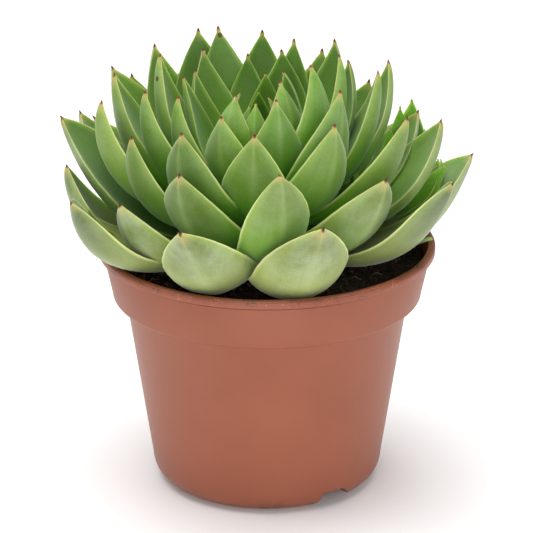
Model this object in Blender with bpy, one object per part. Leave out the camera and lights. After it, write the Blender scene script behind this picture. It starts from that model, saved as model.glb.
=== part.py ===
"""A miranda echeveria in a 12 cm nursery pot.

Four kinds of piece: the moulded plastic pot, the peat that fills it, the large rosette on its
short stem, and the offset rosettes that came up beside it. Lengths are in millimetres and are
turned into metres by MM. The origin is the pot's axis on the surface that it stands on, +Z is up,
and an azimuth of 0 degrees is the front (-Y), growing towards +X.
"""

import math
import random
from collections import namedtuple

import bmesh
import bpy
from mathutils import Matrix, Vector, noise

MM = 0.001
GAP = 0.3                       # between pieces that touch
SIDES = 48                      # round the pot and the soil

# The pot: a rolled rim on a deep band, a tapered wall, a rounded foot with two notches
RIM_RADIUS = 60.0
RIM_TOP = 89.0
RIM_DROP = 2.2                  # height of the rim's outer face
RIM_ROUNDING = 1.2
BAND_TOP_RADIUS = 58.2
BAND_BOTTOM_RADIUS = 55.2
BAND_BOTTOM = 71.1
BAND_ROUNDING = 2.0
WALL_TOP_RADIUS = 50.5
WALL_BOTTOM_RADIUS = 41.4
FOOT_ROUNDING = 8.7
WALL = 1.4                      # thickness of the moulded wall
FLOOR_UNDERSIDE = 7.1
FLOOR_TOP = 8.4
FOOT_INNER_RADIUS = 29.5
NOTCH_AZIMUTHS = (40.0, 220.0)
NOTCH_HEIGHT = 6.5
NOTCH_BOTTOM_WIDTH = 16.8
NOTCH_TOP_WIDTH = 9.1
NOTCH_LEAN = -3.4               # how far its roof is off the middle of its foot
DRAIN_HOLES = 6
DRAIN_RING_RADIUS = 20.0
DRAIN_RADIUS = 3.0
CENTRE_HOLE_RADIUS = 5.0

# The peat: filled to about 6 mm below the rim, a little higher round the stem
SOIL_LEVEL = 82.4
SOIL_MOUND = 0.6
SOIL_LUMP = 0.4
SOIL_RINGS = 7

# The stem and the shape of a leaf
STEM_FOOT = 66.0
STEM_TOP = 112.0
STEM_RADIUS = 9.0
STEM_TOP_RADIUS = 3.0
STEM_SIDES = 16
LEAF_STATIONS = (0.0, 0.24, 0.46, 0.65, 0.81, 0.92)
LEAF_WIDEST = 0.45              # fraction of the length where the leaf is widest
LEAF_BASE = 0.58                # width at the root, of the largest width
LEAF_KEEL = 0.32                # depth of the back below the margins, of the width
LEAF_HOLLOW = 0.09              # depth of the inner face below the margins, of the width
WIDE_BACK = (0.78, 0.42, 0.0, -0.42, -0.78)     # the back's points, of the half width
NARROW_BACK = (0.6, 0.0, -0.6)
SLIM_BACK = (0.0,)
NARROW_LEAF = 26.5
SLIM_LEAF = 14.0
LEAST_WIDTH = 6.0               # of a leaf that stands upright in the heart
WIDTH_OF_REACH = 3.2            # by the root of the reach
WIDEST_LEAF = 34.0
ROOT_REACH = 0.42               # how long it keeps the slope of its root, of the chord,
LOW_REACH = 1.3                 # and how much longer where it leans out less steeply than this
LOW_STEEPNESS = 0.35
TIP_REACH = 0.38

# A rosette stands at its centre, with its lowest leaves at about the height of its rank
Crown = namedtuple("Crown", "centre rank size")
Leaf = namedtuple("Leaf", "crown azimuth reach tip tip_slope root root_radius base_slope "
                  "root_reach tip_reach width point roll")
CROWN = Crown(Vector((-3.0, 3.0, 0.0)), 94.0, 1.0)
RIGHT_OFFSET = Crown(Vector((44.0, 14.0, 0.0)), 89.0, 0.5)
LEFT_OFFSET = Crown(Vector((-46.0, -4.0, 0.0)), 89.0, 0.3)

# Each leaf of the large rosette by its tip: azimuth, reach from the crown's axis, height, and
# where the photograph shows another than the rule gives: slope of the tip, roll, width, slope
# of the root, and how long it keeps the slopes of its root and of its tip
FRONT_LEAVES = (
    (-19.5, 79.5, 119, 33, 13, 31, -4, 0.66, 0.5), (16, 80.5, 121.5, 32, 3, 34.5, -5, 0.73, 0.58),
    (-45.5, 66.5, 119, 53, 4, 28, 2), (6.5, 63.5, 135, 105, 10, 26, -8, 0.53, 0.18),
    (-28, 57, 131, 61, 2, 29), (46, 61, 126.5, 55, -6), (-1.5, 46, 143.5, 67, -8, 25),
    (-37, 43.5, 140.5, None, -4, 29, 11), (37, 43.5, 143.5, 75, 0, None, 16),
    (-58.5, 51, 136.5, 85, -4, 25, 4), (-23.5, 32, 144.5, 64, -8, None, 39),
    (16, 22.5, 148, None, 7, 24), (50.5, 36.5, 152, 80, -5, 27, 25),
)
LEFT_LEAVES = (
    (-57.5, 76.5, 117.5, 27, -4, 33, -2, 0.78, 0.23), (-82.5, 68, 120, 64, -1, 29, -10, 0.64, 0.3),
    (-90, 70, 135, 45, -9, 36, -4), (-113, 70.5, 128, 49, 4), (-78.5, 55.5, 144.5, 86, 2, 31),
    (-76, 40.5, 147.5, 81, 6, 29), (-69.5, 29.5, 145.5, 87, 4, 25), (-98.5, 51.5, 148.5, 68, 6, 36),
    (-119.5, 61, 144, 55, -7, 33), (-94, 26.5, 149, 66),
)
RIGHT_LEAVES = (
    (62, 76, 122.5, 25, 0, 30, -11, 0.65, 0.22), (97.5, 77.5, 117.5, 33, -3, 35, -6, 0.66, 0.34),
    (89.5, 64.5, 134, None, 9, 34), (70, 55, 141, 66), (109.5, 61, 130.5, 56),
    (93.5, 42, 151, 76, 0, 29, 22), (110, 49, 150.5, None, -3), (63, 20, 156.5, None, -8, 24, 37),
    (88, 28, 158, 90, -10, 23), (119.5, 36.5, 150, None, -6),
)
BACK_LEAVES = (
    (-132.5, 51, 151, 76), (-112, 37.5, 153.5, 76, 10, 33), (-118.5, 25.5, 148, 77),
    (-152.5, 47.5, 154.5, None, -5, 31), (-143.5, 33.5, 151.5, 78), (-161, 45.5, 155, 63),
    (-173, 32, 148, None, 0, 21), (178.5, 48, 152, 98, 0, 25), (158.5, 22, 153, None, 10, 24),
    (155, 30, 155, 89), (150, 46, 147.5), (133, 37, 155.5),
)
HEART_LEAVES = (
    (-39.5, 12, 145.5, None, 6, 21), (-100, 6, 143), (-5, 10, 143), (168, 12, 147), (130, 11, 149),
    (51, 9.5, 149.5, 106, -10, 22), (80, 3, 142), (-60, 3, 139), (180, 3, 143),
)
# The back, which the front hides, is filled by rule: rings of (leaves, reach, height and the rest)
HIDDEN_SECTOR = (122.0, 244.0)
HIDDEN_RINGS = ((6, 70, 120.5, 34, None, None, -2, 0.7, 0.5), (5, 61, 136))
HIDDEN_SPREAD = 5.0
HIDDEN_SEED = 4
# The offsets that came up beside it, placed the same way from their own crowns
RIGHT_OFFSET_LEAVES = (
    (79, 20.5, 114, 50, 50, 10), (92, 18, 115), (150, 16, 133, 95, -12, 21),
    (163, 13, 131, 95, 0, 13), (178, 8, 124), (34, 26.6, 92.4, 5, 0, 6, -9, 0.42),
    (118, 20, 112), (135, 18, 122), (215, 15, 118), (252, 13, 112), (300, 9, 112), (100, 6, 116),
)
LEFT_OFFSET_LEAVES = ((-70, 11.7, 99, 40), (-20, 6, 97), (-130, 7, 98))
STALK_RADIUS = 2.2
STALK_HEIGHT = 86.5             # where an offset's stalk leaves the stem, clear of the peat
OFFSET_FOOT = 84.2
OFFSET_STEM_RADIUS = 9.0        # of an offset of full size


def material(name, colour, roughness):
    """A Principled BSDF with one colour."""
    made = bpy.data.materials.new(name)
    made.use_nodes = True
    shader = made.node_tree.nodes["Principled BSDF"]
    shader.inputs["Base Color"].default_value = (*colour, 1.0)
    shader.inputs["Roughness"].default_value = roughness
    return made


def mesh_object(name, bm, finish=None, smooth=False):
    """An object from a bmesh in millimetres, with its faces turned outwards."""
    bmesh.ops.recalc_face_normals(bm, faces=bm.faces)
    bmesh.ops.scale(bm, vec=(MM, MM, MM), verts=bm.verts)
    mesh = bpy.data.meshes.new(name)
    bm.to_mesh(mesh)
    bm.free()
    if smooth:
        mesh.shade_smooth()
        mesh.set_sharp_from_angle(angle=math.radians(35))
    obj = bpy.data.objects.new(name, mesh)
    bpy.context.scene.collection.objects.link(obj)
    if finish:
        mesh.materials.append(finish)
    return obj


def arc(centre_r, centre_z, radius, start, end, steps):
    """Points (r, z) on a round corner, angles in degrees from the outward direction."""
    turns = [math.radians(start + (end - start) * k / steps) for k in range(steps + 1)]
    return [(centre_r + radius * math.cos(a), centre_z + radius * math.sin(a)) for a in turns]


def turned(bm, profile, closed):
    """Spins (r, z) points round +Z; a closed profile is a ring, an open one ends on the axis."""
    verts = [bm.verts.new((r, 0.0, z)) for r, z in profile]
    pairs = list(zip(verts, verts[1:]))
    if closed:
        pairs.append((verts[-1], verts[0]))
    edges = [bm.edges.new(pair) for pair in pairs]
    bmesh.ops.spin(bm, geom=verts + edges, cent=(0, 0, 0), axis=(0, 0, 1), angle=math.tau,
                   steps=SIDES, use_merge=True)
    bmesh.ops.remove_doubles(bm, verts=bm.verts, dist=0.001)


def direction(azimuth):
    """The level unit vector at an azimuth, 0 degrees to the front and growing to the right."""
    a = math.radians(azimuth)
    return Vector((math.sin(a), -math.cos(a), 0.0))


def outer_profile():
    """The pot's outside, from the rim's top down to the foot."""
    rim_low = RIM_TOP - RIM_ROUNDING - RIM_DROP + 1.0
    band_low = BAND_BOTTOM - BAND_ROUNDING
    corner = BAND_BOTTOM_RADIUS - BAND_ROUNDING
    foot = WALL_BOTTOM_RADIUS - FOOT_ROUNDING
    return (
        arc(RIM_RADIUS - RIM_ROUNDING, RIM_TOP - RIM_ROUNDING, RIM_ROUNDING, 90, 0, 3)
        + [(RIM_RADIUS, rim_low), (BAND_TOP_RADIUS, rim_low - 0.3)]
        + arc(corner, BAND_BOTTOM, BAND_ROUNDING, 0, -90, 3)
        + [(WALL_TOP_RADIUS, band_low)]
        + arc(foot, FOOT_ROUNDING, FOOT_ROUNDING, 0, -90, 5)
    )


def inner_profile(inset=0.0):
    """The pot's inside, from the floor up to the rim, or a line that much inside it."""
    shrink = WALL + inset
    corner = WALL_BOTTOM_RADIUS - FOOT_ROUNDING
    slope = (FLOOR_TOP + inset - FOOT_ROUNDING) / (FOOT_ROUNDING - shrink)
    start = math.degrees(math.asin(slope))
    step = BAND_BOTTOM - BAND_ROUNDING + shrink
    return (
        arc(corner, FOOT_ROUNDING, FOOT_ROUNDING - shrink, start, 0, 2)
        + [(WALL_TOP_RADIUS - shrink, step), (BAND_BOTTOM_RADIUS - shrink, step + 1.2),
           (BAND_TOP_RADIUS - shrink, RIM_TOP - 3.0)]
    )


def make_pot(finish):
    bm = bmesh.new()
    rim = [(BAND_TOP_RADIUS - WALL + 0.3, RIM_TOP - 0.6), (BAND_TOP_RADIUS - WALL + 0.8, RIM_TOP)]
    foot = [(FOOT_INNER_RADIUS, 0.0), (FOOT_INNER_RADIUS + 1.5, FLOOR_UNDERSIDE),
            (CENTRE_HOLE_RADIUS, FLOOR_UNDERSIDE), (CENTRE_HOLE_RADIUS, FLOOR_TOP)]
    turned(bm, outer_profile() + foot + inner_profile() + rim, closed=True)
    pot = mesh_object("pot", bm, finish, smooth=True)

    bm = bmesh.new()
    for azimuth in NOTCH_AZIMUTHS:
        add_notch(bm, azimuth)
    for hole in range(DRAIN_HOLES):
        centre = direction(hole * 360.0 / DRAIN_HOLES) * DRAIN_RING_RADIUS
        centre.z = (FLOOR_UNDERSIDE + FLOOR_TOP) / 2
        bmesh.ops.create_cone(bm, cap_ends=True, segments=12, radius1=DRAIN_RADIUS,
                              radius2=DRAIN_RADIUS, depth=4.0, matrix=Matrix.Translation(centre))
    cut(pot, mesh_object("pot_cutter", bm))
    return pot


def add_notch(bm, azimuth):
    """The prism that leaves a notch with sloping sides in the foot."""
    outward = direction(azimuth)
    across = direction(azimuth + 90.0)
    below = 1.0
    foot = (-NOTCH_BOTTOM_WIDTH / 2, NOTCH_BOTTOM_WIDTH / 2)
    roof = (NOTCH_LEAN - NOTCH_TOP_WIDTH / 2, NOTCH_LEAN + NOTCH_TOP_WIDTH / 2)
    low = [a - (b - a) * below / NOTCH_HEIGHT for a, b in zip(foot, roof)]
    section = ((low[0], -below), (low[1], -below),
               (roof[1], NOTCH_HEIGHT), (roof[0], NOTCH_HEIGHT))
    near = FOOT_INNER_RADIUS - 3.0
    verts = [bm.verts.new(outward * near + across * x + Vector((0, 0, z))) for x, z in section]
    face = bm.faces.new(verts)
    grown = bmesh.ops.extrude_face_region(bm, geom=[face])
    moved = [v for v in grown["geom"] if isinstance(v, bmesh.types.BMVert)]
    bmesh.ops.translate(bm, verts=moved, vec=outward * (WALL_BOTTOM_RADIUS - near + 4.0))


def cut(obj, cutter):
    """Leaves a live Boolean difference on obj, with its cutter kept out of the render."""
    cutter.hide_render = True
    cutter.display_type = "WIRE"
    modifier = obj.modifiers.new("cut", "BOOLEAN")
    modifier.operation = "DIFFERENCE"
    modifier.object = cutter


def soil_height(radius):
    """The peat's level at this radius, highest round the stem."""
    mound = max(0.0, 1.0 - radius / 46.0)
    return SOIL_LEVEL + SOIL_MOUND * mound


def make_soil(finish, stems):
    """The peat with a plain hole for each stem, given as (centre, radius, foot)."""
    side = [point for point in inner_profile(GAP) if point[1] < SOIL_LEVEL]
    edge = side[-1][0] + (BAND_TOP_RADIUS - BAND_BOTTOM_RADIUS) * 0.6
    rings = [edge * (1 - k / SOIL_RINGS) for k in range(SOIL_RINGS)]
    top = [(r, soil_height(r)) for r in rings] + [(0.0, soil_height(0.0))]
    bm = bmesh.new()
    turned(bm, [(0.0, side[0][1])] + side + top, closed=False)
    for vert in bm.verts:
        radius = math.hypot(vert.co.x, vert.co.y)
        if vert.co.z > SOIL_LEVEL - 0.01 and radius < edge - 1.0:
            vert.co.z += SOIL_LUMP * noise.noise(vert.co * 0.21)
    soil = mesh_object("soil", bm, finish)
    bm = bmesh.new()
    for centre, radius, foot in stems:
        depth = 60.0
        middle = Matrix.Translation((centre.x, centre.y, foot - GAP + depth / 2))
        bmesh.ops.create_cone(bm, cap_ends=True, segments=STEM_SIDES, radius1=radius + GAP,
                              radius2=radius + GAP, depth=depth, matrix=middle)
    cut(soil, mesh_object("soil_cutter", bm))
    return soil


def leaf_of(crown, astray, azimuth, reach, height, tip_slope=None, roll=None, width=None,
            base_slope=None, root_reach=None, tip_reach=TIP_REACH):
    """A leaf from its tip. The lower it leans, the lower and the more level it leaves the stem."""
    steepness = math.atan2(height - crown.rank, reach) / (math.pi / 2)
    spread = math.sqrt(reach / crown.size)
    return Leaf(
        crown=crown.centre, azimuth=azimuth, reach=reach, tip=height,
        tip_slope=tip_slope or 32.0 + 92.0 * steepness,
        root=crown.rank + crown.size * (25.0 * steepness - 7.0),
        root_radius=crown.size * 7.0 * (1 - steepness),
        base_slope=94.0 * steepness - 29.0 if base_slope is None else base_slope,
        root_reach=root_reach or ROOT_REACH + LOW_REACH * max(0.0, LOW_STEEPNESS - steepness),
        tip_reach=tip_reach,
        width=width or min(WIDEST_LEAF, crown.size * (LEAST_WIDTH + WIDTH_OF_REACH * spread)),
        point=min(1.0, max(0.0, 2.5 * steepness - 0.75)),
        roll=astray if roll is None else roll)


def leaf_outline(leaf, s):
    """Half the leaf's width at fraction s of its length, of the largest: round outer leaves."""
    if s < LEAF_WIDEST:
        return LEAF_BASE + (1 - LEAF_BASE) * math.sin(math.pi / 2 * s / LEAF_WIDEST)
    t = (s - LEAF_WIDEST) / (1 - LEAF_WIDEST)
    return (1 - t ** (2.3 - 0.8 * leaf.point)) ** (0.75 + 0.25 * leaf.point)


def leaf_thickness(s):
    """The leaf's depth at fraction s of its length, of the largest depth."""
    return (0.5 + 0.5 * math.sin(math.pi / 2 * min(s / 0.55, 1.0)) ** 2) * (1 - s ** 3) ** 0.7


def leaf_axis(leaf, s):
    """The leaf's middle line, (outward, up) and its direction there: a cubic curve to the tip."""
    root = Vector((leaf.root_radius, leaf.root))
    tip = Vector((leaf.reach, leaf.tip))
    chord = (tip - root).length
    low = math.radians(leaf.base_slope)
    high = math.radians(leaf.tip_slope)
    early = root + Vector((math.cos(low), math.sin(low))) * chord * leaf.root_reach
    late = tip - Vector((math.cos(high), math.sin(high))) * chord * leaf.tip_reach
    r = 1 - s
    place = root * r ** 3 + early * (3 * s * r * r) + late * (3 * s * s * r) + tip * s ** 3
    along = (early - root) * (r * r) + (late - early) * (2 * s * r) + (tip - late) * (s * s)
    return place, along.normalized()


def leaf_point(leaf, s, across, sink):
    """A point of the leaf: across from -1 to 1 between its margins, sink towards its back."""
    outward = direction(leaf.azimuth)
    sideways = direction(leaf.azimuth + 90.0)
    place, run = leaf_axis(leaf, s)
    centre = leaf.crown + outward * place.x + Vector((0, 0, place.y))
    along = outward * run.x + Vector((0, 0, run.y))
    upward = Vector((0, 0, run.x)) - outward * run.y
    rolled = Matrix.Rotation(math.radians(leaf.roll), 3, along)
    half = leaf.width / 2 * leaf_outline(leaf, s)
    return centre + rolled @ (sideways * (across * half) - upward * sink)


def leaf_object(name, leaf):
    """One closed leaf: a margin on each side, a keeled back and a slightly hollow inner face."""
    bm = bmesh.new()
    rings = []
    back = WIDE_BACK
    if leaf.width < NARROW_LEAF:
        back = SLIM_BACK if leaf.width < SLIM_LEAF else NARROW_BACK
    for s in LEAF_STATIONS:
        depth = leaf.width * leaf_thickness(s)
        keel = 2.6 - 0.9 * s
        ring = [leaf_point(leaf, s, 1.0, 0.0)]
        ring += [leaf_point(leaf, s, u, depth * LEAF_KEEL * (1 - abs(u) ** keel))
                 for u in back]
        ring += [leaf_point(leaf, s, -1.0, 0.0), leaf_point(leaf, s, 0.0, depth * LEAF_HOLLOW)]
        rings.append([bm.verts.new(point) for point in ring])
    tip = bm.verts.new(leaf_point(leaf, 1.0, 0.0, 0.0))
    count = len(rings[0])
    for lower, upper in zip(rings, rings[1:]):
        for k in range(count):
            n = (k + 1) % count
            bm.faces.new((lower[k], lower[n], upper[n], upper[k]))
    for k in range(count):
        bm.faces.new((rings[-1][k], rings[-1][(k + 1) % count], tip))
    bm.faces.new(list(reversed(rings[0])))
    bmesh.ops.triangulate(bm, faces=bm.faces)
    return mesh_object(name, bm)


def hidden_leaves(draw):
    """The back leaves that the photograph doesn't show: even rings, each leaf a little astray."""
    low, high = HIDDEN_SECTOR
    for count, reach, height, *bearing in HIDDEN_RINGS:
        for k in range(count):
            azimuth = low + (high - low) * (k + 0.5) / count
            yield (azimuth + draw.uniform(-HIDDEN_SPREAD, HIDDEN_SPREAD),
                   reach + draw.uniform(-2.5, 2.5), height + draw.uniform(-3.5, 3.5), *bearing)


def rosette_leaves():
    draw = random.Random(HIDDEN_SEED)
    plan = [*FRONT_LEAVES, *LEFT_LEAVES, *RIGHT_LEAVES, *BACK_LEAVES, *HEART_LEAVES,
            *hidden_leaves(draw)]
    return [leaf_of(CROWN, draw.uniform(-4.0, 4.0), *tip) for tip in plan]


def offset_leaves():
    return [leaf_of(crown, 0.0, *tip) for crown, plan in (
        (RIGHT_OFFSET, RIGHT_OFFSET_LEAVES), (LEFT_OFFSET, LEFT_OFFSET_LEAVES)) for tip in plan]


def stem_object(name, crown, foot, top, radius, top_radius):
    bm = bmesh.new()
    shoulder = foot + 0.55 * (top - foot)
    for low, high, wide, narrow in ((foot, shoulder, radius, radius),
                                    (shoulder, top, radius, top_radius)):
        middle = crown + Vector((0, 0, (low + high) / 2))
        bmesh.ops.create_cone(bm, cap_ends=True, segments=STEM_SIDES, radius1=wide,
                              radius2=narrow, depth=high - low, matrix=Matrix.Translation(middle))
    bmesh.ops.remove_doubles(bm, verts=bm.verts, dist=0.001)
    inner = [f for f in bm.faces if len(f.verts) > 4 and abs(f.calc_center_median().z - shoulder) < 0.01]
    bmesh.ops.delete(bm, geom=inner, context="FACES_ONLY")
    return mesh_object(name, bm)


def stalk_object(name, crown):
    """The short stalk on which an offset grows out of the large rosette's stem."""
    start = CROWN.centre + Vector((0, 0, STALK_HEIGHT))
    end = crown.centre + Vector((0, 0, crown.rank))
    run = end - start
    turn = run.to_track_quat("Z", "Y").to_matrix().to_4x4()
    bm = bmesh.new()
    bmesh.ops.create_cone(bm, cap_ends=True, segments=8, radius1=STALK_RADIUS,
                          radius2=STALK_RADIUS, depth=run.length,
                          matrix=Matrix.Translation((start + end) / 2) @ turn)
    return mesh_object(name, bm)


def fill_cavities(obj):
    """Deletes each closed shell that faces inwards, which is a hollow sealed between leaves."""
    bm = bmesh.new()
    bm.from_mesh(obj.data)
    unseen = set(bm.verts)
    hollow = []
    while unseen:
        shell = {unseen.pop()}
        edge = list(shell)
        while edge:
            near = {e.other_vert(v) for v in edge for e in v.link_edges} - shell
            shell |= near
            edge = list(near)
        unseen -= shell
        faces = {f for v in shell for f in v.link_faces}
        volume = sum(f.calc_center_median().dot(f.normal) * f.calc_area() for f in faces)
        if volume < 0:
            hollow += list(shell)
    bmesh.ops.delete(bm, geom=hollow, context="VERTS")
    bm.to_mesh(obj.data)
    bm.free()


def join(name, stem, pieces, finish):
    """Fuses loose pieces into their stem by one Boolean union, and drops the loose ones."""
    loose = bpy.data.collections.new(name + "_pieces")
    bpy.context.scene.collection.children.link(loose)
    for obj in pieces:
        bpy.context.scene.collection.objects.unlink(obj)
        loose.objects.link(obj)
    union = stem.modifiers.new("pieces", "BOOLEAN")
    union.operation = "UNION"
    union.solver = "MANIFOLD"
    union.operand_type = "COLLECTION"
    union.collection = loose
    bpy.context.view_layer.objects.active = stem
    bpy.ops.object.modifier_apply(modifier=union.name)
    for obj in list(loose.objects):
        bpy.data.objects.remove(obj)
    bpy.data.collections.remove(loose)
    fill_cavities(stem)
    stem.data.materials.clear()
    stem.data.materials.append(finish)
    return stem


def main():
    for obj in list(bpy.data.objects):
        bpy.data.objects.remove(obj)
    terracotta = material("terracotta polypropylene", (0.42, 0.16, 0.10), 0.45)
    peat = material("peat", (0.012, 0.009, 0.007), 0.95)
    leaf_green = material("echeveria leaf", (0.22, 0.36, 0.10), 0.4)
    make_pot(terracotta)
    make_soil(peat, [(CROWN.centre, STEM_RADIUS, STEM_FOOT)])
    stem = stem_object("rosette", CROWN.centre, STEM_FOOT, STEM_TOP, STEM_RADIUS, STEM_TOP_RADIUS)
    leaves = rosette_leaves() + offset_leaves()
    pieces = [leaf_object(f"leaf_{k}", leaf) for k, leaf in enumerate(leaves)]
    for crown in (RIGHT_OFFSET, LEFT_OFFSET):
        radius = crown.size * OFFSET_STEM_RADIUS
        top = crown.rank + crown.size * 18.0
        pieces += [stalk_object("stalk", crown),
                   stem_object("offset_stem", crown.centre, OFFSET_FOOT, top, radius, radius / 3)]
    join("rosette", stem, pieces, leaf_green)


main()
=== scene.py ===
# %% [markdown]
# # A potted miranda echeveria
# This lesson dresses a plain CAD model of a succulent in its nursery pot. The CAD model gives the
# sizes and stays the frame of everything. Here the leaves get their real thickness, margins and
# spines, the peat gets its crumbs, the pot gets its fine rim, and each gets the finish of the real
# material: waxy leaf, damp peat and moulded plastic.

# %% Load the frame
import math
import random
from collections import namedtuple

import bmesh
import bpy
import numpy as np
from mathutils import Matrix, Vector, noise


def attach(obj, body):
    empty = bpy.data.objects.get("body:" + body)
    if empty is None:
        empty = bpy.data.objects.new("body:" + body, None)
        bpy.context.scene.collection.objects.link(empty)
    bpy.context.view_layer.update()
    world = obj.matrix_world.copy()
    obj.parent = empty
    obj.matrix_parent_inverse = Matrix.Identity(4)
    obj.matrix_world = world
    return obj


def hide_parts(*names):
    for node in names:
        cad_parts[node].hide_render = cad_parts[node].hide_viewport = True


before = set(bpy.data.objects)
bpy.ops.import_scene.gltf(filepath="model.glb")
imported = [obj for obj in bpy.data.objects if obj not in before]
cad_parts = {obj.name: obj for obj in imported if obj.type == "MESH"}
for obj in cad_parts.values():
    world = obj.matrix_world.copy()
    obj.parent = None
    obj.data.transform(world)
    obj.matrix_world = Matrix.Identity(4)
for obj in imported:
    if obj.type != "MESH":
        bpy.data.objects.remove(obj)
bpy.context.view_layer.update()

print("CAD nodes:", ", ".join(sorted(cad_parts)))

# %% [markdown]
# ## Working in millimetres
# Blender counts in metres, but a plant in a 12 cm pot is easier to think of in millimetres. One
# factor turns the one into the other. Angles go round the pot from the front, growing to the
# right, as one walks round a table, so a direction needs a helper of its own.

# %% Units and directions
MM = 0.001


def mm(*lengths):
    """A vector in metres from lengths in millimetres."""
    return Vector(lengths) * MM


def direction(azimuth):
    """The level unit vector at an azimuth: 0 degrees is the front, 90 degrees the right."""
    turn = math.radians(azimuth)
    return Vector((math.sin(turn), -math.cos(turn), 0.0))


print("front", tuple(direction(0)), "right", tuple(round(c, 3) for c in direction(90)))

# %% [markdown]
# ## Two habits of modelling by code
# An operator acts on whatever is selected, so every step starts by selecting nothing and then
# picking points by their place. The second habit is to leave each finished piece with its object
# at the origin, so that patterns in its material sit where they should.

# %% Selecting by place
def start_fresh():
    """Leaves edit mode and selects nothing."""
    if bpy.context.mode != "OBJECT":
        bpy.ops.object.mode_set(mode="OBJECT")
    bpy.ops.object.select_all(action="DESELECT")


def take(obj):
    """Makes obj the one selected and active object."""
    start_fresh()
    obj.select_set(True)
    bpy.context.view_layer.objects.active = obj
    return obj


def pick(test):
    """In edit mode, selects only the points whose place passes the test."""
    mesh = bpy.context.edit_object.data
    edit = bmesh.from_edit_mesh(mesh)
    edit.select_mode = {"VERT"}
    for vert in edit.verts:
        vert.select = bool(test(vert.co))
    edit.select_flush_mode()
    bmesh.update_edit_mesh(mesh)
    return sum(vert.select for vert in edit.verts)


def apply_all(obj):
    """Applies every modifier of obj, in order."""
    take(obj)
    for modifier in list(obj.modifiers):
        bpy.ops.object.modifier_apply(modifier=modifier.name)
    return obj


def smooth_sides(obj, degrees):
    """Shades obj smooth, but keeps the edges that turn by more than this angle crisp."""
    take(obj)
    bpy.ops.object.shade_smooth_by_angle(angle=math.radians(degrees))
    return obj


start_fresh()
print("selected after a fresh start:", len(bpy.context.selected_objects))

# %% [markdown]
# ## Colours and material nodes
# Colours are written as the hex values that a colour picker shows. Those are sRGB, and shading
# needs linear light, so one function turns them over. One more small function adds a node with
# its inputs and settings, because a material is then read from top to bottom like a recipe. Where
# an input names another node, it takes that node's result. Places and heights are in metres here.

# %% Colour and node helpers
SMOOTH = {"interpolation_type": "SMOOTHSTEP"}    # for a range with soft ends
COLOURS = {"data_type": "RGBA"}                  # for a mix of colours and not of numbers
TIMES = {"operation": "MULTIPLY"}


def linear(hex_colour):
    """An sRGB hex colour as linear red, green, blue and alpha."""
    parts = [int(hex_colour[k:k + 2], 16) / 255 for k in (1, 3, 5)]
    return [p / 12.92 if p <= 0.04045 else ((p + 0.055) / 1.055) ** 2.4 for p in parts] + [1.0]


def feed(node, inputs):
    """Gives a node its inputs: numbers, hex colours, sockets, or nodes for their results."""
    for name, value in inputs.items():
        if isinstance(value, bpy.types.Node):
            value = next(socket for socket in value.outputs if socket.enabled)
        if isinstance(value, bpy.types.NodeSocket):
            node.id_data.links.new(value, node.inputs[name])
        else:
            node.inputs[name].default_value = linear(value) if isinstance(value, str) else value


def add(tree, kind, inputs=None, **settings):
    """Adds a node of a kind, with its settings and inputs."""
    made = tree.nodes.new("ShaderNode" + kind)
    for name, value in settings.items():
        setattr(made, name, value)
    feed(made, inputs or {})
    return made


def new_material(name):
    """An empty material with its tree and its shader."""
    made = bpy.data.materials.new(name)
    made.use_nodes = True
    return made, made.node_tree, made.node_tree.nodes["Principled BSDF"]


print("terracotta in linear light:", [round(c, 3) for c in linear("#AA6A54")])

# %% [markdown]
# ## The camera
# The photograph looks down on the pot by about 21 degrees from a little over a metre, through a
# long lens. The numbers come from fitting the pot's ellipses and edges, so that a leaf placed by
# its real position lands on its place in the picture.

# %% The camera
CAMERA_PLACE = mm(0.0, -1080.41, 490.81)
CAMERA_ELEVATION = 20.861
FRAME_WIDTH = 36.0       # mm, of the sensor
FOCAL_LENGTH = 218.49
FRAME_PIXELS = 533       # its middle lies half a pixel off the lens's axis

camera_data = bpy.data.cameras.new("photo_camera")
camera_data.sensor_width = FRAME_WIDTH
camera_data.lens = FOCAL_LENGTH
camera_data.shift_x = -0.5 / FRAME_PIXELS
camera = bpy.data.objects.new("photo_camera", camera_data)
bpy.context.scene.collection.objects.link(camera)
camera.location = CAMERA_PLACE
camera.rotation_euler = (math.radians(90.0 - CAMERA_ELEVATION), 0.0, 0.0)
bpy.context.scene.camera = camera
print("camera at", tuple(round(c, 3) for c in camera.location))

# %% [markdown]
# ## The pot
# The real pot is injection moulded from terracotta-coloured polypropylene, a little over a
# millimetre thick. It is a turned shape, so its profile is drawn as a line of points and spun
# round the axis. Two notches and the drain holes are then cut through it, because in the mould
# they are separate pins and blocks.

# %% The pot's measures
RIM_RADIUS = 60.0
RIM_TOP = 89.0
LIP_ROUND = 1.2
LIP_BOTTOM = 86.0
GROOVE_BOTTOM = 85.5
GROOVE_DEPTH = 0.4
EDGE_ROUND = 0.3         # of the small edges of lip, band and foot
BAND_TOP_RADIUS = 58.2
BAND_BOTTOM_RADIUS = 55.2
BAND_BOTTOM = 71.1
BAND_ROUND = 1.6
WALL_TOP = 68.7
WALL_TOP_RADIUS = 50.5
HOLLOW_ROUND = 0.6       # of the hollow corner between wall and band
WALL_BOTTOM_RADIUS = 41.4
FOOT_ROUNDING = 8.7
FOOT_INNER_RADIUS = 29.5
WALL = 1.4
FLOOR_UNDERSIDE = 7.1
FLOOR_TOP = 8.4
CENTRE_HOLE_RADIUS = 5.0
SPIN_STEPS = 144
SAME_PLACE = 1e-6        # metres: points closer than this are one


def corner(centre_r, centre_z, radius, start, end, steps):
    """Points (r, z) round a corner, angles in degrees from straight outwards."""
    turns = [math.radians(start + (end - start) * k / steps) for k in range(steps + 1)]
    return [(centre_r + radius * math.cos(t), centre_z + radius * math.sin(t)) for t in turns]


print("the pot's wall:", WALL, "mm, its floor:", round(FLOOR_TOP - FLOOR_UNDERSIDE, 2), "mm")

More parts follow.
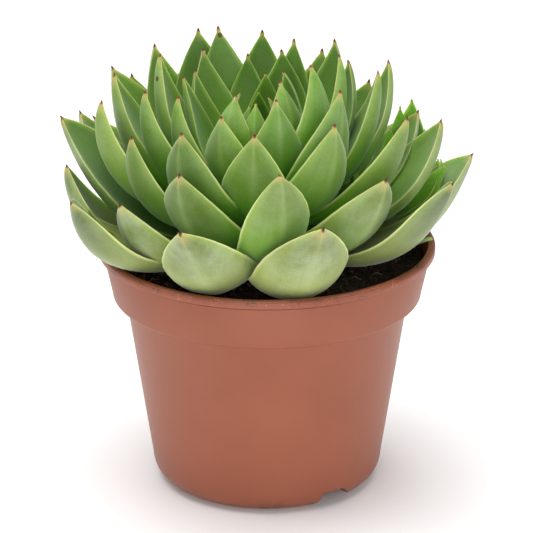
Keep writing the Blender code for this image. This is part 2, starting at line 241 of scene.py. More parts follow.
# %% The pot's profile, once round from the rim over the outside and back up the inside
outside = (
    corner(RIM_RADIUS - LIP_ROUND, RIM_TOP - LIP_ROUND, LIP_ROUND, 100, 0, 6)
    + corner(RIM_RADIUS - EDGE_ROUND, LIP_BOTTOM + GROOVE_DEPTH, EDGE_ROUND, 0, -80, 3)
    + [(BAND_TOP_RADIUS - GROOVE_DEPTH, LIP_BOTTOM), (BAND_TOP_RADIUS - GROOVE_DEPTH, GROOVE_BOTTOM)]
    + corner(BAND_TOP_RADIUS - EDGE_ROUND, GROOVE_BOTTOM - GROOVE_DEPTH, EDGE_ROUND, 80, 0, 3)
    + corner(BAND_BOTTOM_RADIUS - BAND_ROUND, BAND_BOTTOM - 0.2, BAND_ROUND, 8, -80, 5)
    + corner(WALL_TOP_RADIUS + HOLLOW_ROUND, WALL_TOP, HOLLOW_ROUND, 100, 180, 3)
    + corner(WALL_BOTTOM_RADIUS - FOOT_ROUNDING, FOOT_ROUNDING, FOOT_ROUNDING, 0, -90, 9)
)
underside = [
    (FOOT_INNER_RADIUS + EDGE_ROUND, 0.0), (FOOT_INNER_RADIUS, EDGE_ROUND),
    (FOOT_INNER_RADIUS + WALL, FLOOR_UNDERSIDE), (CENTRE_HOLE_RADIUS, FLOOR_UNDERSIDE),
    (CENTRE_HOLE_RADIUS, FLOOR_TOP),
]
inside = (
    corner(WALL_BOTTOM_RADIUS - FOOT_ROUNDING, FOOT_ROUNDING, FOOT_ROUNDING - WALL, -2.4, 0, 1)
    + [(WALL_TOP_RADIUS - WALL, BAND_BOTTOM - HOLLOW_ROUND),
       (BAND_BOTTOM_RADIUS - WALL, BAND_BOTTOM + HOLLOW_ROUND), (BAND_TOP_RADIUS - WALL, LIP_BOTTOM),
       # the lip rounds over into the inside
       (BAND_TOP_RADIUS - WALL + 0.3, RIM_TOP - 0.8), (BAND_TOP_RADIUS - WALL + 0.7, RIM_TOP - 0.15)]
)
pot_profile = outside + underside + inside
print("points in the pot's profile:", len(pot_profile))


# %% The pot, spun from its profile
def spin_profile(name, profile, steps):
    """A closed turned piece: a plane shrunk to a point is drawn along the profile and spun."""
    start_fresh()
    bpy.ops.mesh.primitive_plane_add(size=MM)
    piece = bpy.context.object
    piece.name = name
    bpy.ops.object.mode_set(mode="EDIT")
    bpy.ops.mesh.select_all(action="SELECT")
    bpy.ops.mesh.merge(type="CENTER")
    bpy.ops.transform.translate(value=mm(profile[0][0], 0.0, profile[0][1]))
    for here, there in zip(profile, profile[1:]):
        step = mm(there[0] - here[0], 0.0, there[1] - here[1])
        bpy.ops.mesh.extrude_vertices_move(TRANSFORM_OT_translate={"value": step})
    ends = [mm(r, 0.0, z) for r, z in (profile[0], profile[-1])]
    pick(lambda place: min((place - end).length for end in ends) < SAME_PLACE)
    bpy.ops.mesh.edge_face_add()
    bpy.ops.mesh.select_all(action="SELECT")
    bpy.ops.mesh.spin(steps=steps, angle=math.tau, center=(0, 0, 0), axis=(0, 0, 1))
    bpy.ops.mesh.select_all(action="SELECT")
    bpy.ops.mesh.remove_doubles(threshold=SAME_PLACE)
    bpy.ops.mesh.normals_make_consistent(inside=False)
    bpy.ops.object.mode_set(mode="OBJECT")
    return piece


pot = spin_profile("nursery_pot", pot_profile, SPIN_STEPS)
print("faces of the pot:", len(pot.data.polygons), "height mm:", round(pot.dimensions.z / MM, 2))

# %% [markdown]
# ## The notches and drain holes
# The notch in the foot lets water run out from under the pot. It is wider at the bottom than at
# the top. Its cutter is a block whose lower face is stretched, and a Boolean takes it away.

# %% Cutters for the notches and holes
NOTCH_AZIMUTHS = (40.0, 220.0)
NOTCH_HEIGHT = 6.5
NOTCH_BOTTOM_WIDTH = 16.8
NOTCH_TOP_WIDTH = 9.1
NOTCH_LEAN = -3.4        # how far its roof is off the middle of its foot
NOTCH_FLARES = ((2.4, 1.5), (1.2, 5.0))    # below each height the steeper side runs out so far
NOTCH_ROUND = 1.0
NOTCH_DEPTH = 18.5       # through the foot ring, whose middle is at NOTCH_REACH
NOTCH_REACH = 35.8
DRAIN_HOLES = 6
DRAIN_RING_RADIUS = 20.0
DRAIN_RADIUS = 3.0
DRILL_LENGTH = 4.0
CRISP = 32               # degrees: edges of the pot that turn by more stay crisp


def notch_cutter(azimuth):
    """A block from below the foot up to the notch's roof, with sloping sides."""
    start_fresh()
    bpy.ops.mesh.primitive_cube_add(size=1.0)
    block = bpy.context.object
    block.dimensions = mm(NOTCH_TOP_WIDTH, NOTCH_DEPTH, 2 * NOTCH_HEIGHT)
    bpy.ops.object.transform_apply(scale=True)
    bpy.ops.object.mode_set(mode="EDIT")
    pick(lambda place: place.z > 0)
    bpy.ops.transform.translate(value=mm(NOTCH_LEAN, 0, 0))
    pick(lambda place: place.z < 0)
    widened = 2 * NOTCH_BOTTOM_WIDTH / NOTCH_TOP_WIDTH - 1
    bpy.ops.transform.resize(value=(widened, 1, 1), center_override=(0, 0, -NOTCH_HEIGHT * MM))
    bpy.ops.transform.translate(value=mm(-NOTCH_LEAN, 0, 0))
    for height, flare in NOTCH_FLARES:
        bpy.ops.mesh.select_all(action="SELECT")
        bpy.ops.mesh.bisect(plane_co=mm(0, 0, height), plane_no=(0, 0, 1))
        pick(lambda place: place.z < 0 and place.x < 0)
        bpy.ops.transform.translate(value=mm(-flare, 0, 0))
    pick(lambda place: place.z > NOTCH_HEIGHT / 2 * MM)
    bpy.ops.mesh.bevel(offset=NOTCH_ROUND * MM, segments=3)
    bpy.ops.object.mode_set(mode="OBJECT")
    block.location = direction(azimuth) * NOTCH_REACH * MM
    block.rotation_euler = (0, 0, math.radians(azimuth))
    bpy.ops.object.transform_apply(location=True, rotation=True)
    return block


def drain_cutter(turn):
    """A plain drill for one drain hole."""
    start_fresh()
    place = direction(turn) * DRAIN_RING_RADIUS * MM + mm(0, 0, (FLOOR_UNDERSIDE + FLOOR_TOP) / 2)
    bpy.ops.mesh.primitive_cylinder_add(vertices=32, radius=DRAIN_RADIUS * MM,
                                        depth=DRILL_LENGTH * MM, location=place)
    bpy.ops.object.transform_apply(location=True)
    return bpy.context.object


def join(pieces, name):
    """Joins pieces into the first one."""
    start_fresh()
    for piece in pieces:
        piece.select_set(True)
    bpy.context.view_layer.objects.active = pieces[0]
    bpy.ops.object.join()
    pieces[0].name = name
    return pieces[0]


cutters = [notch_cutter(azimuth) for azimuth in NOTCH_AZIMUTHS]
cutters += [drain_cutter(hole * 360.0 / DRAIN_HOLES) for hole in range(DRAIN_HOLES)]
cutter = join(cutters, "pot_cutters")
print("pieces of the cutter:", len(cutters))

# %% Cut the pot
cut = pot.modifiers.new("notches and holes", "BOOLEAN")
cut.operation = "DIFFERENCE"
cut.solver = "EXACT"
cut.object = cutter
apply_all(pot)
bpy.data.objects.remove(cutter)
smooth_sides(pot, degrees=CRISP)
print("faces after the cut:", len(pot.data.polygons))

# %% [markdown]
# ## The pot's plastic
# Polypropylene, injection moulded against a lightly polished steel mould: satin, with a broad
# soft reflection and no grain. The colour is an orange brown. Handling leaves faint smudges, and
# peat leaves dark specks on the lip and along the foot. The top of the lip gets painted shade, for
# the shade and dark reflection of the leaves above it, and a few small painted highlights. Each mark
# is a coat over the ones before it.

# %% The plastic material
plastic, tree, shader = new_material("moulded polypropylene, terracotta")
place = add(tree, "TexCoord").outputs["Object"]
height = add(tree, "SeparateXYZ", {"Vector": place}).outputs["Z"]
# smudges about 25 mm across
smudge = add(tree, "TexNoise", {"Vector": place, "Scale": 40.0, "Detail": 3.0, "Roughness": 0.5})
# the foot is a little darker and redder
darker_foot = add(tree, "MapRange", {"Value": height, "From Min": 0.024, "From Max": 0.002,
                                   "To Max": 0.55}, **SMOOTH)
# specks of peat: grains under a millimetre, only near the lip and the foot
grains = add(tree, "TexNoise", {"Vector": place, "Scale": 1500.0, "Detail": 2.0, "Roughness": 0.6})
patches = add(tree, "TexNoise", {"Vector": place, "Scale": 90.0, "Detail": 2.0, "Roughness": 0.6})
spots = add(tree, "Math", {0: grains, 1: patches}, **TIMES)
near_lip = add(tree, "MapRange", {"Value": height, "From Min": 0.0855, "From Max": 0.0885})
near_foot = add(tree, "MapRange", {"Value": height, "From Min": 0.007, "From Max": 0.001})
near_ends = add(tree, "Math", {0: near_lip, 1: near_foot}, operation="MAXIMUM")
specks = add(tree, "MapRange", {"Value": spots, "From Min": 0.325, "From Max": 0.345})
specks = add(tree, "Math", {0: near_ends, 1: specks}, **TIMES)
# painted shade and highlights: the top of the lip is painted darker, for the shade and dark
# reflection of the leaves above it, with a few small pale painted highlights
painted_lip_shade = add(tree, "MapRange", {"Value": height, "From Min": 0.0866, "From Max": 0.0884,
                                "To Max": 0.45}, **SMOOTH)
painted_lip_highlights = add(tree, "MapRange", {"Value": spots, "From Min": 0.162, "From Max": 0.148,
                               "To Max": 0.7})
painted_lip_highlights = add(tree, "Math", {0: near_lip, 1: painted_lip_highlights}, **TIMES)
colour = "#824228"
for share, over in ((smudge, "#925036"), (darker_foot, "#7E4129"), (specks, "#3A2620"),
                    (painted_lip_shade, "#6A2E1C"), (painted_lip_highlights, "#C48C78")):
    colour = add(tree, "Mix", {"Factor": share, "A": colour, "B": over}, **COLOURS)
satin = add(tree, "MapRange", {"Value": smudge, "To Min": 0.36, "To Max": 0.5})
# the mould's faint ripple, a few millimetres from crest to crest
ripple = add(tree, "TexNoise", {"Vector": place, "Scale": 220.0, "Detail": 2.0, "Roughness": 0.4})
bump = add(tree, "Bump", {"Height": ripple, "Strength": 0.06, "Distance": 0.0006})
feed(shader, {"Base Color": colour, "Roughness": satin, "IOR": 1.49, "Normal": bump})
pot.data.materials.clear()
pot.data.materials.append(plastic)
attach(pot, "root")
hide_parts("pot")
print("nodes in the plastic:", len(tree.nodes))

# %% [markdown]
# ## Where each leaf stands
# An echeveria sets its leaves one by one round a short stem, and the oldest lean out furthest.
# Each leaf is listed by its tip, the only point that a photograph shows well: azimuth, reach from
# the crown's axis, and height, all as on the CAD model. Where a leaf departs from the rule below,
# it also carries the slope of its tip, its roll, its width, the slope of its root, and how long
# it keeps those two slopes.

# %% The plan of the leaves
Crown = namedtuple("Crown", "centre rank size")
CROWN = Crown(Vector((-3.0, 3.0, 0.0)), 94.0, 1.0)
RIGHT_OFFSET = Crown(Vector((44.0, 14.0, 0.0)), 89.0, 0.5)
LEFT_OFFSET = Crown(Vector((-46.0, -4.0, 0.0)), 89.0, 0.3)

front_plan = (
    (-19.5, 79.5, 119, 33, 13, 31, -4, 0.66, 0.5), (16, 80.5, 121.5, 32, 3, 34.5, -5, 0.73, 0.58),
    (-45.5, 66.5, 119, 53, 4, 28, 2), (6.5, 63.5, 135, 105, 10, 26, -8, 0.53, 0.18),
    (-28, 57, 131, 61, 2, 29), (46, 61, 126.5, 55, -6), (-1.5, 46, 143.5, 67, -8, 25),
    (-37, 43.5, 140.5, None, -4, 29, 11), (37, 43.5, 143.5, 75, 0, None, 16),
    (-58.5, 51, 136.5, 85, -4, 25, 4), (-23.5, 32, 144.5, 64, -8, None, 39),
    (16, 22.5, 148, None, 7, 24), (50.5, 36.5, 152, 80, -5, 27, 25),
)
left_plan = (
    (-57.5, 76.5, 117.5, 27, -4, 33, -2, 0.78, 0.23), (-82.5, 68, 120, 64, -1, 29, -10, 0.64, 0.3),
    (-90, 70, 135, 45, -9, 36, -4), (-113, 70.5, 128, 49, 4), (-78.5, 55.5, 144.5, 86, 2, 31),
    (-76, 40.5, 147.5, 81, 6, 29), (-69.5, 29.5, 145.5, 87, 4, 25), (-98.5, 51.5, 148.5, 68, 6, 36),
    (-119.5, 61, 144, 55, -7, 33), (-94, 26.5, 149, 66),
)
right_plan = (
    (62, 76, 122.5, 25, 0, 30, -11, 0.65, 0.22), (97.5, 77.5, 117.5, 33, -3, 35, -6, 0.66, 0.34),
    (89.5, 64.5, 134, None, 9, 34), (70, 55, 141, 66), (109.5, 61, 130.5, 56),
    (93.5, 42, 151, 76, 0, 29, 22), (110, 49, 150.5, None, -3), (63, 20, 156.5, None, -8, 24, 37),
    (88, 28, 158, 90, -10, 23), (119.5, 36.5, 150, None, -6),
)
back_plan = (
    (-132.5, 51, 151, 76), (-112, 37.5, 153.5, 76, 10, 33), (-118.5, 25.5, 148, 77),
    (-152.5, 47.5, 154.5, None, -5, 31), (-143.5, 33.5, 151.5, 78), (-161, 45.5, 155, 63),
    (-173, 32, 148, None, 0, 21), (178.5, 48, 152, 98, 0, 25), (158.5, 22, 153, None, 10, 24),
    (155, 30, 155, 89), (150, 46, 147.5), (133, 37, 155.5),
)
heart_plan = (
    (-39.5, 12, 145.5, None, 6, 21), (-100, 6, 143), (-5, 10, 143), (168, 12, 147), (130, 11, 149),
    (51, 9.5, 149.5, 106, -10, 22), (80, 3, 142), (-60, 3, 139), (180, 3, 143),
)
right_offset_plan = (
    (79, 20.5, 114, 50, 50, 10), (92, 18, 115), (150, 16, 133, 95, -12, 21),
    (163, 13, 131, 95, 0, 13), (178, 8, 124), (34, 26.6, 92.4, 5, 0, 6, -9, 0.42),
    (118, 20, 112), (135, 18, 122), (215, 15, 118), (252, 13, 112), (300, 9, 112), (100, 6, 116),
)
left_offset_plan = ((-70, 11.7, 99, 40), (-20, 6, 97), (-130, 7, 98))
print("leaves that the photograph shows:",
      sum(len(p) for p in (front_plan, left_plan, right_plan, back_plan, heart_plan)))

# %% [markdown]
# ## The leaves at the back
# The photograph can't show the far side. A real rosette is about even all round, so two rings of
# leaves fill the back by rule, each a little astray, from the same seed as the CAD model.

# %% The hidden rings
draw = random.Random(4)
hidden_plan = []
HIDDEN_FROM = 122.0      # degrees, and on to HIDDEN_TO
HIDDEN_TO = 244.0
HIDDEN_RINGS = ((6, 70, 120.5, 34, None, None, -2, 0.7, 0.5), (5, 61, 136))


def astray(middle, most):
    """A draw that is at most so far off the middle."""
    return middle + draw.uniform(-most, most)


# up to 5 degrees off its place in the ring, 2.5 mm in or out and 3.5 mm up or down
for count, reach, height, *bearing in HIDDEN_RINGS:
    for k in range(count):
        azimuth = HIDDEN_FROM + (HIDDEN_TO - HIDDEN_FROM) * (k + 0.5) / count
        tip = (astray(azimuth, 5.0), astray(reach, 2.5), astray(height, 3.5))
        hidden_plan.append((*tip, *bearing))
print("leaves placed by rule:", len(hidden_plan))

# %% [markdown]
# ## How a leaf leaves the stem
# A leaf that leans far out starts low on the stem and nearly level, and a young one in the heart
# starts high and upright. The tilt from the crown to the tip says which, and gives the rest: the
# root, the slope there, the width, and how pointed the leaf is. Most follow a straight line, so
# each is written as its value for a level leaf and how much more it is for an upright one.

# %% The law of a leaf
TIP_SLOPE = (32.0, 92.0)         # degrees up from level
BASE_SLOPE = (-29.0, 94.0)
ROOT_HEIGHT = (-7.0, 25.0)       # mm over the crown's rank, for a full-sized crown
ROOT_RADIUS = (7.0, -7.0)
POINTEDNESS = (-0.75, 2.5)
OLDEST, YOUNGEST = 0.18, 0.8     # the steepness of each
ROOT_REACH = (0.42, 1.3)         # of the leaf's length; the second for what it lacks of STEEP
STEEP = 0.35
LEAF_WIDTH = (6.0, 3.2)          # mm; the second for each root of a mm of reach
WIDEST_LEAF = 34.0

Leaf = namedtuple("Leaf", "crown azimuth reach tip tip_slope root root_radius base_slope "
                          "root_reach tip_reach width point roll youth")


def by_law(law, share):
    """A value that follows a straight line: where it starts, and how fast it grows."""
    return law[0] + law[1] * share


def leaf_of(crown, own_roll, azimuth, reach, tip, tip_slope=None, roll=None, width=None,
            base_slope=None, root_reach=None, tip_reach=0.38):
    """A leaf from its tip. Youth is 0 for a leaf that lies out flat and 1 in the heart."""
    steepness = math.atan2(tip - crown.rank, reach) / (math.pi / 2)
    usual_width = crown.size * by_law(LEAF_WIDTH, math.sqrt(reach / crown.size))
    return Leaf(
        crown=crown.centre, azimuth=azimuth, reach=reach, tip=tip,
        tip_slope=tip_slope or by_law(TIP_SLOPE, steepness),
        root=crown.rank + crown.size * by_law(ROOT_HEIGHT, steepness),
        root_radius=crown.size * by_law(ROOT_RADIUS, steepness),
        base_slope=by_law(BASE_SLOPE, steepness) if base_slope is None else base_slope,
        root_reach=root_reach or by_law(ROOT_REACH, max(0.0, STEEP - steepness)),
        tip_reach=tip_reach, width=width or min(WIDEST_LEAF, usual_width),
        point=min(1.0, max(0.0, by_law(POINTEDNESS, steepness))),
        roll=own_roll if roll is None else roll,
        youth=min(1.0, max(0.0, (steepness - OLDEST) / (YOUNGEST - OLDEST))))


rosette = {}
for name, plan in (("front", front_plan), ("left", left_plan), ("right", right_plan),
                   ("back", back_plan), ("heart", heart_plan), ("hidden", hidden_plan)):
    rosette[name] = [leaf_of(CROWN, astray(0.0, 4.0), *tip) for tip in plan]
offsets = {"right": [leaf_of(RIGHT_OFFSET, 0.0, *tip) for tip in right_offset_plan],
           "left": [leaf_of(LEFT_OFFSET, 0.0, *tip) for tip in left_offset_plan]}
widths = [leaf.width for group in rosette.values() for leaf in group]
print("leaf widths from", round(min(widths), 1), "to", round(max(widths), 1), "mm")

# %% [markdown]
# ## One straight leaf
# All the leaves are one form, so it is modelled once: straight, one unit long and two units
# wide, in numbers that each copy then scales. A ring of twelve points is the section at the root.
# Its lower half is deepened to the keeled back, its upper half is turned down into the hollow
# inner face, and the ring is drawn out station by station, wider and then narrower, to the spine.

# %% The outline and depth of a leaf along its length
WIDEST_AT = 0.45
THICKEST_AT = 0.55
BASE_WIDTH = 0.58
SHOULDER = 2.75          # the higher this power, the blunter the leaf
POINTING = 1.25          # how much lower it is for the most pointed leaf
TIP_ROUNDING = 0.06
BLADE_END = 0.985        # where the blade runs out to a point
SPINE_JOIN = 0.979       # from here to SPINE_START the blade gives way to the spine
SPINE_START = 0.986
SPINE_END = 0.995
SPINE_HALVES = [0.038, 0.032]
SPINE_DEPTHS = [0.058, 0.050]


def outline(s, point=0.0):
    """Half the width at fraction s, of the largest: blunt for old leaves, pointed for young."""
    if s < WIDEST_AT:
        return BASE_WIDTH + (1 - BASE_WIDTH) * math.sin(math.pi / 2 * s / WIDEST_AT)
    t = (s - WIDEST_AT) / (BLADE_END - WIDEST_AT)
    return max(0.0, 1 - t ** (SHOULDER - POINTING * point)) ** (1 - TIP_ROUNDING * (1 - point))


def thickness(s):
    """The depth at fraction s, of the largest."""
    rise = 0.5 + 0.5 * math.sin(math.pi / 2 * min(s / THICKEST_AT, 1.0)) ** 2
    return rise * (1 - s ** 3) ** 0.7


stations = (0.0, 0.12, 0.26, 0.40, 0.54, 0.66, 0.76, 0.84, 0.90, 0.94, 0.965, SPINE_JOIN,
            SPINE_START, SPINE_END)
half_widths = [outline(s) for s in stations[:-2]] + SPINE_HALVES
depths = [thickness(s) for s in stations[:-2]] + SPINE_DEPTHS
print("half width at the stations:", [round(w, 2) for w in half_widths])

# %% The section at the root
BACK_DEPTH = 0.66        # of the half width, a little over the real 0.64: smoothing draws it in
HOLLOW_DEPTH = 0.17
NEAR = 0.01              # close enough to be on a line of the rough leaf

start_fresh()
bpy.ops.mesh.primitive_circle_add(vertices=12, radius=1.0, rotation=(math.radians(90), 0, 0))
straight_leaf = bpy.context.object
straight_leaf.name = "straight_leaf"
bpy.ops.object.transform_apply(rotation=True)
bpy.ops.object.mode_set(mode="EDIT")
# the back: near a parabola, so the points by the margins come up further than a circle's
for near, rise in ((0.87, 0.84), (0.5, 0.95), (0.0, 1.0)):
    pick(lambda place: place.z < -NEAR and abs(abs(place.x) - near) < NEAR)
    bpy.ops.transform.resize(value=(1, 1, BACK_DEPTH * rise), center_override=(0, 0, 0))
# the inner face: turned down through the plane of the margins
pick(lambda place: place.z > NEAR)
bpy.ops.transform.resize(value=(1, 1, -HOLLOW_DEPTH), center_override=(0, 0, 0))
pick(lambda place: True)
bpy.ops.transform.resize(value=(half_widths[0], 1, depths[0]), center_override=(0, 0, 0))
print("points in the section:", len(bmesh.from_edit_mesh(straight_leaf.data).verts))

# %% Draw the section out to the tip
KEEL_SHARPNESS = 0.42    # how much the flanks of the back are flattened at the tip
KEEL_FLANK = 0.6         # of the half width, where the flanks begin
LEVEL = 1e-5             # points this close to a station belong to it
HAIR = 1e-6              # and points this close to a plane lie in it

for k in range(1, len(stations)):
    step = stations[k] - stations[k - 1]
    bpy.ops.mesh.extrude_region_move(TRANSFORM_OT_translate={"value": (0, step, 0)})
    ratio = (half_widths[k] / half_widths[k - 1], 1, depths[k] / depths[k - 1])
    bpy.ops.transform.resize(value=ratio, center_override=(0, stations[k], 0))
bpy.ops.mesh.extrude_region_move(TRANSFORM_OT_translate={"value": (0, 1 - stations[-1], 0)})
bpy.ops.mesh.merge(type="CENTER")
# the back sharpens from a round belly into a keel towards the tip
for k in range(1, len(stations) - 2):
    flank = half_widths[k] * KEEL_FLANK
    pick(lambda place: abs(place.y - stations[k]) < LEVEL and place.z < -HAIR
         and abs(place.x) > flank)
    flatter = 1 - KEEL_SHARPNESS * stations[k] ** 2
    bpy.ops.transform.resize(value=(1, 1, flatter), center_override=(0, stations[k], 0))
pick(lambda place: place.y < LEVEL)
bpy.ops.mesh.edge_face_add()
bpy.ops.mesh.select_all(action="SELECT")
bpy.ops.mesh.normals_make_consistent(inside=False)
print("faces of the rough leaf:", len(bmesh.from_edit_mesh(straight_leaf.data).faces))

# %% [markdown]
# ## Margins and keel
# A leaf's margin is a thin crisp edge and the keel a soft ridge, and plain smoothing would round
# both away. Creases hold them. The leaf also gets its own map, across and along, and a value that
# tells the inner face from the back, while the mesh is still simple. Smoothing carries both on.

# %% Creases
MARGIN_CREASE = 0.9
KEEL_CREASE = 0.35
KEEL_START = 0.2

for is_line, strength in (
        (lambda place: abs(place.z) < HAIR and abs(place.x) > HAIR, MARGIN_CREASE),
        (lambda place: abs(place.x) < HAIR and place.z < -HAIR and place.y > KEEL_START, KEEL_CREASE)):
    pick(is_line)
    bpy.ops.transform.edge_crease(value=strength)
bpy.ops.object.mode_set(mode="OBJECT")
print("creased edges:", sum(e.value > 0 for e in straight_leaf.data.attributes["crease_edge"].data))

# %% The leaf's own map, and which face is which
mesh = straight_leaf.data
leaf_map = mesh.uv_layers.new(name="LeafMap")
inner = mesh.attributes.new("inner_face", "FLOAT", "POINT")
for vert in mesh.vertices:
    margin = abs(vert.co.z) < HAIR
    hollow_here = np.interp(vert.co.y, stations, depths) * HOLLOW_DEPTH * 1.01
    inner.data[vert.index].value = 0.5 if margin else float(vert.co.z > -hollow_here)
for loop in mesh.loops:
    place = mesh.vertices[loop.vertex_index].co
    half = max(HAIR, float(np.interp(place.y, stations, half_widths)))
    leaf_map.data[loop.index].uv = (0.5 + 0.5 * max(-1.0, min(1.0, place.x / half)), place.y)
print("inner points:", sum(v.value == 1.0 for v in inner.data), "of", len(mesh.vertices))

# %% Smooth the leaf
soften = straight_leaf.modifiers.new("soften", "SUBSURF")
soften.levels = 2
soften.render_levels = 2
apply_all(straight_leaf)
print("faces of the smooth leaf:", len(straight_leaf.data.polygons))

# %% [markdown]
# ## Bending a copy into place
# Each leaf is a copy of the straight one, bent along its own middle line: level or steep where it
# leaves the stem, and upright at the tip. The line is a cubic curve. A real leaf is never quite
# true, so each one also sways and twists a little along its length, with the tip kept in place.

# %% The middle line
def middle_line(leaf, s):
    """Outward and upward place in mm, and the direction there, at the fractions s."""
    root = np.array((leaf.root_radius, leaf.root))
    tip = np.array((leaf.reach, leaf.tip))
    chord = np.linalg.norm(tip - root)
    low, high = math.radians(leaf.base_slope), math.radians(leaf.tip_slope)
    early = root + np.array((math.cos(low), math.sin(low))) * chord * leaf.root_reach
    late = tip - np.array((math.cos(high), math.sin(high))) * chord * leaf.tip_reach
    s = s[:, None]
    r = 1 - s
    place = root * r ** 3 + early * (3 * s * r * r) + late * (3 * s * s * r) + tip * s ** 3
    along = (early - root) * (r * r) + (late - early) * (2 * s * r) + (tip - late) * (s * s)
    return place, along / np.linalg.norm(along, axis=1)[:, None]


lowest = rosette["front"][0]
print("the first leaf starts at", round(middle_line(lowest, np.zeros(1))[0][0][1], 1), "mm")

# %% Bend a leaf
SPINE_RADIUS = 0.8       # mm where it starts
SPINE_TAPER = 0.55       # how much thinner it ends
TAPER_START = 0.975
NARROW_LEAF = 25.0       # mm: a leaf under this width has a thinner spine
PLUMPNESS = 0.12         # how much thicker the oldest leaves are
THINNING = 0.3           # how much of its lost width a pointed leaf also loses in depth
SWAY = 0.035             # at most, of the leaf's width
TWIST = 7.0              # degrees, at most
WAVE = 0.05              # at most, of the half width, up and down the margins
WAVE_LENGTH = 9.0        # radians of that wave along a leaf


def section_in_mm(leaf, across, s, up):
    """How far sideways and up a point of the straight leaf is, on this leaf, and its depth."""
    taper = 1.0 - SPINE_TAPER * np.clip((s - TAPER_START) / (SPINE_END - TAPER_START), 0, 1)
    spine_mm = SPINE_RADIUS * min(1.0, leaf.width / NARROW_LEAF) * taper
    blunt = np.array([outline(v) for v in s])
    pointed = np.array([outline(v, leaf.point) for v in s])
    half_mm = np.maximum(pointed * leaf.width / 2, spine_mm)
    spine = np.clip((s - SPINE_JOIN) / (SPINE_START - SPINE_JOIN), 0, 1)
    slim = pointed / np.maximum(blunt, 0.01) * (1 - spine) + spine
    deep_mm = leaf.width / 2 * (1 - spine) + spine_mm / SPINE_HALVES[0] * spine
    plump = 1.0 + PLUMPNESS * (1.0 - leaf.youth) ** 2
    sideways_mm = across / np.interp(s, stations, half_widths) * half_mm
    return sideways_mm, up * (1 - THINNING * (1 - slim)) * plump * deep_mm, deep_mm


def bend_leaf(name, leaf, luck):
    """A copy of the straight leaf with its own mesh, bent and scaled to this leaf."""
    mesh = straight_leaf.data.copy()
    points = np.empty(len(mesh.vertices) * 3)
    mesh.vertices.foreach_get("co", points)
    across, s, up = points.reshape(-1, 3).T
    s = np.clip(s, 0.0, 1.0)
    sideways_mm, upward_mm, deep_mm = section_in_mm(leaf, across, s, up)
    sway = luck.uniform(-SWAY, SWAY) * leaf.width * np.sin(math.pi * s) * s
    twist = np.radians(leaf.roll + luck.uniform(-TWIST, TWIST) * s)
    wave = luck.uniform(0.0, WAVE) * np.sin(s * WAVE_LENGTH + luck.uniform(0, 6.3))
    upward_mm = upward_mm + wave * across ** 2 * np.sign(across) * np.sin(math.pi * s) * deep_mm
    turned_side = sideways_mm * np.cos(twist) - upward_mm * np.sin(twist) + sway
    turned_up = sideways_mm * np.sin(twist) + upward_mm * np.cos(twist)
    place, run = middle_line(leaf, s)
    outward = np.array(direction(leaf.azimuth))
    sideways = np.array(direction(leaf.azimuth + 90.0))
    vertical = np.array((0.0, 0.0, 1.0))
    centre = np.array(leaf.crown) + outward * place[:, :1] + vertical * place[:, 1:]
    upward = vertical * run[:, :1] - outward * run[:, 1:]
    bent = centre + sideways * turned_side[:, None] + upward * turned_up[:, None]
    mesh.vertices.foreach_set("co", (bent * MM).ravel())
    # a given tone is partly painted light and shade on the whole leaf; the rest are drawn by luck
    tone = TONES_WITH_PAINTED_LIGHT.get(name, luck.random())
    for attribute, value in (("leaf_youth", leaf.youth), ("leaf_tone_and_painted_light", tone)):
        layer = mesh.attributes.new(attribute, "FLOAT", "POINT")
        layer.data.foreach_set("value", np.full(len(mesh.vertices), value, np.float32))
    mesh.update()
    obj = bpy.data.objects.new(name, mesh)
    bpy.context.scene.collection.objects.link(obj)
    return obj


print("a leaf 30 mm wide has a spine of", 2 * SPINE_RADIUS, "mm")

# %% [markdown]
# ## Every leaf with its tone
# Every leaf draws its tone from the same luck as its sway and twist: 0 is dark and 1 light. Those
# that the photograph shows plainly darker or lighter than their neighbours have it given instead,
# and below 0 is darker than any draw. A given tone is partly the leaf's own colour and partly
# painted light and shade: how the light falls on that leaf.

# %% Bend every leaf
# given tones: partly each leaf's own colour, partly painted light and shade on the whole leaf
TONES_WITH_PAINTED_LIGHT = {"front_leaf_2": 0.4, "front_leaf_5": 0.7, "front_leaf_6": 0.75, "front_leaf_7": -0.4,
              "front_leaf_9": 0.1, "left_leaf_0": -0.9, "left_leaf_2": -0.3, "left_leaf_4": 1.0,
              "right_leaf_0": -1.1, "right_leaf_7": 0.3, "back_leaf_5": -0.3}

luck = random.Random(11)
leaf_pieces = {}
for name, group in rosette.items():
    copies = [bend_leaf(f"{name}_leaf_{k}", leaf, luck) for k, leaf in enumerate(group)]
    leaf_pieces[name] = join(copies, f"{name}_leaves")
for name, group in offsets.items():
    copies = [bend_leaf(f"{name}_offset_leaf_{k}", leaf, luck) for k, leaf in enumerate(group)]
    leaf_pieces[name + " offset"] = join(copies, f"{name}_offset_leaves")
bpy.data.objects.remove(straight_leaf)
for piece in leaf_pieces.values():
    smooth_sides(piece, degrees=75)
print({name: len(piece.data.polygons) for name, piece in leaf_pieces.items()})

# %% [markdown]
# ## The leaf's skin
# A living leaf is thick, watery tissue under a thin skin. An echeveria powders the skin with a
# pale wax, most on the backs of old leaves, so those look grey green and soft, and the young
# inner faces clear green. The colour is built in coats, one over the other. Each coat is laid by
# a few readings: how far along and across its leaf a point is, on which face, how old the leaf
# is, and how dark or light. Those come from the leaf's own map and values.

# %% The readings that the coats are laid by
Readings = namedtuple("Readings", "uv along across inner youth tone place cloud shade sunlit")


